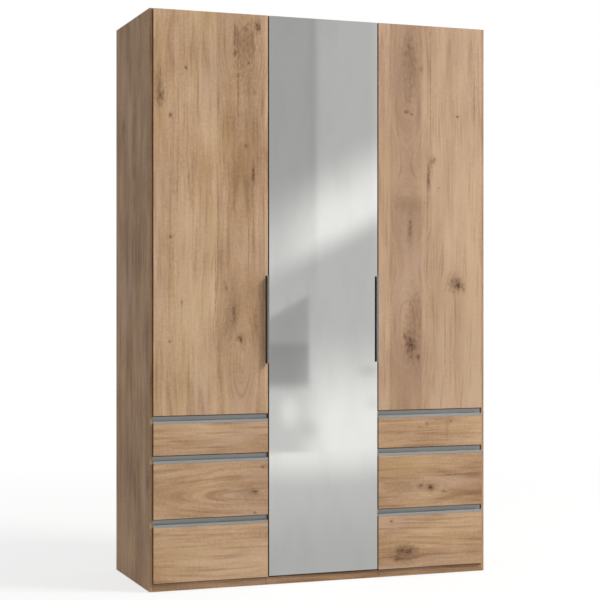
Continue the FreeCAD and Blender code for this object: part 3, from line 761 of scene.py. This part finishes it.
def moulded(name, dark, light, roughness, peel_size, clear=0.0):
    """Plastic or powder paint with a fine orange-peel surface. clear lets light through."""
    material, graph, shader = new_material(name)
    peel = graph.blobs(peel_size)
    cloud = graph.blobs(0.05, detail=3.0)
    tone = graph.add(0.5, graph.times(peel, 0.5), graph.times(cloud, 1.0))
    colour = graph.ramp(tone, ((0.15, dark), (0.85, light)))
    colour = graph.mix(graph.times(graph.worn_edge(0.0008), 0.4), colour, light)
    graph.feed(shader.inputs["Base Color"], colour)
    graph.feed(shader.inputs["Roughness"], graph.add(roughness, graph.times(peel, 0.3)))
    shader.inputs["Transmission Weight"].default_value = clear
    graph.feed(shader.inputs["Normal"], graph.bump(peel, 0.25, 0.0002))
    return material


def mirror_glass():
    """Silvered glass: a mirror in front, with ground and polished, slightly green edges."""
    material, graph, shader = new_material("mirror_glass")
    x, _, z = graph.place()
    _, front_on, _ = graph.facing()
    flat = graph.smooth(front_on, 0.75, 0.97)
    wipe = graph.streaks(x, z, (0.10, 0.30), 0.0, detail=3.0)
    haze = graph.smooth(wipe, -0.1, 0.25, 0.0, 1.0)
    silver = graph.mix(haze, screen(234, 234, 231), screen(229, 229, 226))
    colour = graph.mix(flat, screen(196, 208, 202), silver)
    graph.feed(shader.inputs["Base Color"], colour)
    graph.feed(shader.inputs["Metallic"], graph.smooth(front_on, 0.75, 0.97, 0.35, 1.0))
    polished = graph.smooth(haze, 0.0, 1.0, 0.035, 0.05)
    ground = graph.times(graph.minus(1.0, flat), 0.22)
    graph.feed(shader.inputs["Roughness"], graph.add(polished, ground))
    wave = graph.streaks(x, z, (0.25, 0.35), 2.0)
    graph.feed(shader.inputs["Normal"], graph.bump(wave, 0.05, 0.0004))
    return material


def slot_materials():
    """The material of every slot in the CAD record."""
    return {
        "oak_decor": oak("oak_upright", "upright", **UPRIGHT),
        "interior_decor": linen_laminate("linen", screen(203, 196, 182), oak_edge=True),
        "back_board": back_board(),
        "mirror": mirror_glass(),
        "aluminium": brushed_aluminium(
            "aluminium_level", "level", screen(150, 151, 149), screen(190, 190, 187), 0.75
        ),
        "nickel_steel": plated_steel(
            "nickel", screen(176, 172, 163), screen(206, 203, 195), 0.24, 0.02
        ),
        "zinc_steel": plated_steel(
            "zinc", screen(160, 165, 170), screen(205, 209, 212), 0.38, 0.006
        ),
        "runner_paint": moulded(
            "runner_paint", screen(206, 206, 202), screen(226, 226, 222), 0.42, 0.0012
        ),
        "chrome_tube": plated_steel(
            "chrome", screen(200, 202, 205), screen(222, 224, 226), 0.09, 0.04
        ),
        "strip_plastic": moulded(
            "strip_plastic", screen(214, 211, 203), screen(232, 229, 221), 0.5, 0.0015
        ),
        "black_plastic": moulded(
            "black_plastic", screen(22, 22, 22), screen(44, 43, 42), 0.55, 0.0008
        ),
        "clear_plastic": moulded(
            "clear_plastic", screen(214, 217, 215), screen(235, 238, 236), 0.3, 0.001, clear=0.6
        ),
    }


def handle_materials():
    """The door handles, by node, with painted shade on the leg: lighter on the left one, whose
    leg lies in more light, and darker on the middle one.
    """
    return {
        f"{side}_door_handle": brushed_aluminium(
            f"aluminium_{side}_handle",
            "upright",
            screen(196, 196, 191),
            screen(214, 214, 209),
            0.25,
            leg_shade,
        )
        for side, leg_shade in (("left", screen(128, 126, 120)), ("middle", screen(56, 57, 58)))
    }


def board_materials():
    """The oak boards that don't look like their slot's other boards, by node."""
    boards = {"top_panel": oak("oak_top_panel", "level", STRAIGHT, seed=120.0, shift=0.05)}
    for name, look in DOORS.items():
        node = f"{name}_door_panel"
        boards[node] = oak(f"oak_{node}", "upright", edging_and_gap_shade=FRONT_GAP_SHADE, **look)
    for name, look in DRAWER_FRONTS.items():
        node = f"{name}_drawer_front"
        boards[node] = oak(f"oak_{node}", "level", edging_and_gap_shade=FRONT_GAP_SHADE, **look)
    cover = oak("oak_left_cover_side", "upright", **SIDE)
    for side in ("left", "right"):
        boards[f"{side}_cover_side"] = cover
    # The plinth is the top panel's oak with painted shade: made darker as it lies in shade under
    # the fronts.
    plinth = oak("oak_plinth", "level", STRAIGHT, seed=120.0, shift=-0.16)
    for bay in ("left", "middle", "right"):
        boards[f"{bay}_plinth_board"] = plinth
    return boards


def make_materials():
    """The material of every CAD node, by node name."""
    by_slot = slot_materials()
    drawer_linen = linen_laminate("linen_drawers", screen(200, 193, 179), seed=7.0)
    chosen = {
        node: drawer_linen if node.endswith("_drawer_box") else by_slot[slot]
        for node, slot in SLOT_OF.items()
    }
    return {**chosen, **handle_materials(), **board_materials()}


def paint(nodes, materials):
    """Gives every CAD node its one material."""
    for name, node in nodes.items():
        node.data.materials.clear()
        node.data.materials.append(materials[name])


# ---------------------------------------------------------------- rounded edges

WELD_GAP = 0.00001
SHARP_ANGLE = math.radians(40)
BOARD_ROUNDING = 0.0007
PROFILE_ROUNDING = 0.0004
ROUNDED_SLOTS = {
    "oak_decor": BOARD_ROUNDING,
    "interior_decor": BOARD_ROUNDING,
    "mirror": PROFILE_ROUNDING,
    "aluminium": PROFILE_ROUNDING,
}


def round_edges(nodes):
    """Boards and profiles get the small radius that edging and extrusion leave."""
    for name, node in nodes.items():
        radius = ROUNDED_SLOTS.get(SLOT_OF[name])
        if radius:
            weld = node.modifiers.new("join_faces", "WELD")
            weld.merge_threshold = WELD_GAP
            rounding = node.modifiers.new("rounding", "BEVEL")
            rounding.width = radius
            rounding.segments = 2
            rounding.limit_method = "ANGLE"
            rounding.angle_limit = SHARP_ANGLE
            rounding.harden_normals = True


# ---------------------------------------------------------------- stage, light and camera

# The camera was fitted to the photo's edges.
CAMERA_PLACE = (-2.3580, -6.4114, 1.1806)
CAMERA_TURN = math.radians(20.16)
CAMERA_LENS = 93.98
SENSOR_WIDTH = 36.0

# The floor's share of glow rises from the low to the high one between two distances.
FLOOR_RADIUS = 30.0
FLOOR_SIDES = 48
GLOW_STARTS = 1.2
GLOW_FULL = 5.0
GLOW_LOW = 0.72
GLOW_HIGH = 1.0

# The upright and the lying card that glow as a painted reflection of a room in the mirror.
MIRROR_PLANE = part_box("mirror_glass")[0].y
CARD_PLANE = -5.55
CARD_HALF_WIDTH = 12.0
CARD_TOP = 2.6
CARD_LIFT = 0.002
CARD_GAP = 0.03

# Soft round spots in the reflection: (x, z, half width, half height, brightness).
REFLECTED_SPOTS = (
    (0.200, 0.880, 0.060, 0.035, -0.12),
    (0.225, 0.740, 0.050, 0.040, -0.10),
    (-0.150, 0.720, 0.060, 0.090, 0.20),
    (-0.060, 0.640, 0.060, 0.060, -0.12),
)

# How bright the room round the wardrobe is, from below to above: (position, grey).
ROOM_GREYS = ((0.0, 0.38), (0.5, 0.50), (1.0, 0.66))

# The softbox.
KEY_PLACE = (7.3, -4.7, 7.9)
KEY_TARGET = (0.0, -0.28, 1.2)
KEY_SIZE = 3.4
KEY_WATTS = 1130.0
KEY_COLOUR = (1.0, 0.985, 0.965)


def new_object(name, vertices, faces):
    mesh = bpy.data.meshes.new(name)
    mesh.from_pydata(vertices, [], faces)
    made = bpy.data.objects.new(name, mesh)
    bpy.context.scene.collection.objects.link(made)
    return made


def make_floor():
    """A round white floor that glows, most far away, so that it meets the white behind."""
    corners = []
    for step in range(FLOOR_SIDES):
        angle = 2 * math.pi * step / FLOOR_SIDES
        corners.append((FLOOR_RADIUS * math.cos(angle), FLOOR_RADIUS * math.sin(angle), 0.0))
    floor = new_object("floor", corners, [tuple(range(FLOOR_SIDES))])
    material, graph, shader = new_material("floor")
    x, y, _ = graph.place()
    away = graph.root_of_squares(x, y)
    speck = graph.streaks(x, y, (0.01, 0.01), 0.0)
    shader.inputs["Base Color"].default_value = screen(242, 242, 241)
    graph.feed(shader.inputs["Roughness"], graph.add(0.9, graph.times(speck, 0.1)))
    glow = graph.node("ShaderNodeEmission")
    seen = graph.node("ShaderNodeLightPath").outputs["Is Camera Ray"]
    graph.feed(glow.inputs["Strength"], graph.add(0.35, graph.times(seen, 0.65)))
    mixed = graph.node("ShaderNodeMixShader")
    share = graph.smooth(away, GLOW_STARTS, GLOW_FULL, GLOW_LOW, GLOW_HIGH)
    graph.feed(mixed.inputs[0], share)
    graph.feed(mixed.inputs[1], shader.outputs[0])
    graph.feed(mixed.inputs[2], glow.outputs[0])
    output = material.node_tree.nodes["Material Output"]
    graph.feed(output.inputs["Surface"], mixed.outputs[0])
    floor.data.materials.append(material)


def only_reflected(made):
    """Hides a stage object from everything but reflections."""
    made.visible_camera = False
    made.visible_diffuse = False
    made.visible_shadow = False


def glowing(name, made, level):
    """Gives a stage object a material that glows with the level that a function works out."""
    material, graph, shader = new_material(name)
    material.node_tree.nodes.remove(shader)
    glow = graph.node("ShaderNodeEmission")
    graph.feed(glow.inputs["Strength"], level(graph, *graph.place()))
    graph.feed(material.node_tree.nodes["Material Output"].inputs["Surface"], glow.outputs[0])
    made.data.materials.append(material)


def wall_level(graph, x, z):
    """A grey wall, darker at the top left, with a dark upright band and a light right edge."""
    high = graph.smooth(z, 1.10, 1.60)
    band = graph.smooth(graph.maths("ABSOLUTE", graph.add(x, 0.045)), 0.030, 0.010)
    return graph.add(
        graph.smooth(z, 1.2, 2.0, 0.57, 0.535),
        graph.times(graph.smooth(x, -0.02, -0.05), graph.times(high, -0.11)),
        graph.times(band, graph.times(high, -0.03)),
        graph.times(graph.smooth(x, 0.21, 0.235), graph.times(high, 0.05)),
    )


def streak_level(graph, x, z):
    """A streak of light that rises to the right."""
    slant = graph.minus(z, graph.times(x, 0.50))
    streak = graph.times(graph.smooth(slant, 1.33, 1.47), graph.smooth(slant, 1.80, 1.50))
    return graph.times(graph.times(streak, graph.smooth(x, -0.22, 0.0, 0.45, 1.0)), 0.42)


def low_level(graph, x, z):
    """Light low down, stronger to the right."""
    return graph.times(graph.smooth(z, 1.10, 0.66), graph.smooth(x, -0.16, 0.04, 0.10, 0.40))


def block_level(graph, x, z):
    """A dark block at the left, with a sloping top and a paler upper half."""
    top = graph.add(1.252, graph.times(x, 0.544))
    block = graph.times(
        graph.smooth(graph.minus(top, z), 0.0, 0.03),
        graph.times(graph.smooth(z, 0.79, 0.85), graph.smooth(x, -0.057, -0.077)),
    )
    return graph.times(block, graph.smooth(z, 0.98, 1.02, -0.26, -0.16))


def card_level(graph, x, _, z):
    """How bright the room in the mirror is, by the point on the mirror that shows it."""
    level = graph.add(
        wall_level(graph, x, z),
        streak_level(graph, x, z),
        low_level(graph, x, z),
        block_level(graph, x, z),
    )
    for spot in REFLECTED_SPOTS:
        level = graph.add(level, use_group(graph, PATCH, (x, z, 0.0, *spot))["Amount"])
    return level


def floor_card_level(graph, _, y, __):
    """A painted reflection of the floor: pale far from the wardrobe and greyer close to it, with
    painted shade near the wardrobe.
    """
    return graph.add(
        0.50,
        graph.smooth(y, -0.5, -3.2, 0.0, 0.10),
        graph.smooth(y, -3.0, -5.4, 0.0, 0.32),
    )


def make_reflected_room():
    """Glowing cards in front of the wardrobe that only reflections show: a painted reflection of
    a room.

    The upright card's own coordinates are those of the point on the mirror in which the
    camera sees it.
    """
    camera_x, camera_y, camera_z = CAMERA_PLACE
    beyond = (MIRROR_PLANE - CARD_PLANE) / (MIRROR_PLANE - camera_y)
    growth = 1 + beyond
    low = camera_z * beyond / growth
    reach = CARD_HALF_WIDTH
    upright = new_object(
        "reflected_wall",
        [(-reach, 0.0, low), (reach, 0.0, low), (reach, 0.0, CARD_TOP), (-reach, 0.0, CARD_TOP)],
        [(0, 1, 2, 3)],
    )
    upright.scale = (growth, 1.0, growth)
    upright.location = (-camera_x * beyond, CARD_PLANE, -camera_z * beyond)
    glowing("reflected_wall", upright, card_level)
    only_reflected(upright)

    wide = reach * growth
    lying = new_object(
        "reflected_floor",
        [
            (-wide, CARD_PLANE, CARD_LIFT),
            (wide, CARD_PLANE, CARD_LIFT),
            (wide, MIRROR_PLANE - CARD_GAP, CARD_LIFT),
            (-wide, MIRROR_PLANE - CARD_GAP, CARD_LIFT),
        ],
        [(0, 1, 2, 3)],
    )
    glowing("reflected_floor", lying, floor_card_level)
    only_reflected(lying)


def make_world():
    """Plain white behind the wardrobe, and a soft grey room for light and reflections."""
    world = bpy.data.worlds.new("studio")
    bpy.context.scene.world = world
    world.use_nodes = True
    graph = Graph(world.node_tree)
    background = world.node_tree.nodes["Background"]
    _, _, up = graph.split(graph.node("ShaderNodeTexCoord").outputs["Generated"])
    stops = [(position, (grey, grey, grey, 1.0)) for position, grey in ROOM_GREYS]
    room = graph.ramp(graph.smooth(up, -0.1, 1.0), stops)
    seen = graph.node("ShaderNodeLightPath").outputs["Is Camera Ray"]
    graph.feed(background.inputs["Color"], graph.mix(seen, room, WHITE))


def make_key_light():
    """A softbox high on the right, which leaves the left side in shade."""
    light = bpy.data.lights.new("key", "AREA")
    light.shape = "SQUARE"
    light.size = KEY_SIZE
    light.energy = KEY_WATTS
    light.color = KEY_COLOUR
    key = bpy.data.objects.new("key", light)
    bpy.context.scene.collection.objects.link(key)
    key.location = KEY_PLACE
    backwards = Vector(KEY_PLACE) - Vector(KEY_TARGET)
    key.rotation_mode = "QUATERNION"
    key.rotation_quaternion = backwards.to_track_quat("Z", "Y")


def make_camera():
    """A level camera where the photo was taken from."""
    data = bpy.data.cameras.new("camera")
    data.lens = CAMERA_LENS
    data.sensor_width = SENSOR_WIDTH
    data.clip_end = 100.0
    camera = bpy.data.objects.new("camera", data)
    camera.location = CAMERA_PLACE
    camera.rotation_euler = (math.pi / 2, 0.0, -CAMERA_TURN)
    bpy.context.scene.collection.objects.link(camera)
    bpy.context.scene.camera = camera


paint(NODES, make_materials())
round_edges(NODES)
make_floor()
make_reflected_room()
make_world()
make_key_light()
make_camera()
bpy.context.scene.view_settings.view_transform = "Standard"
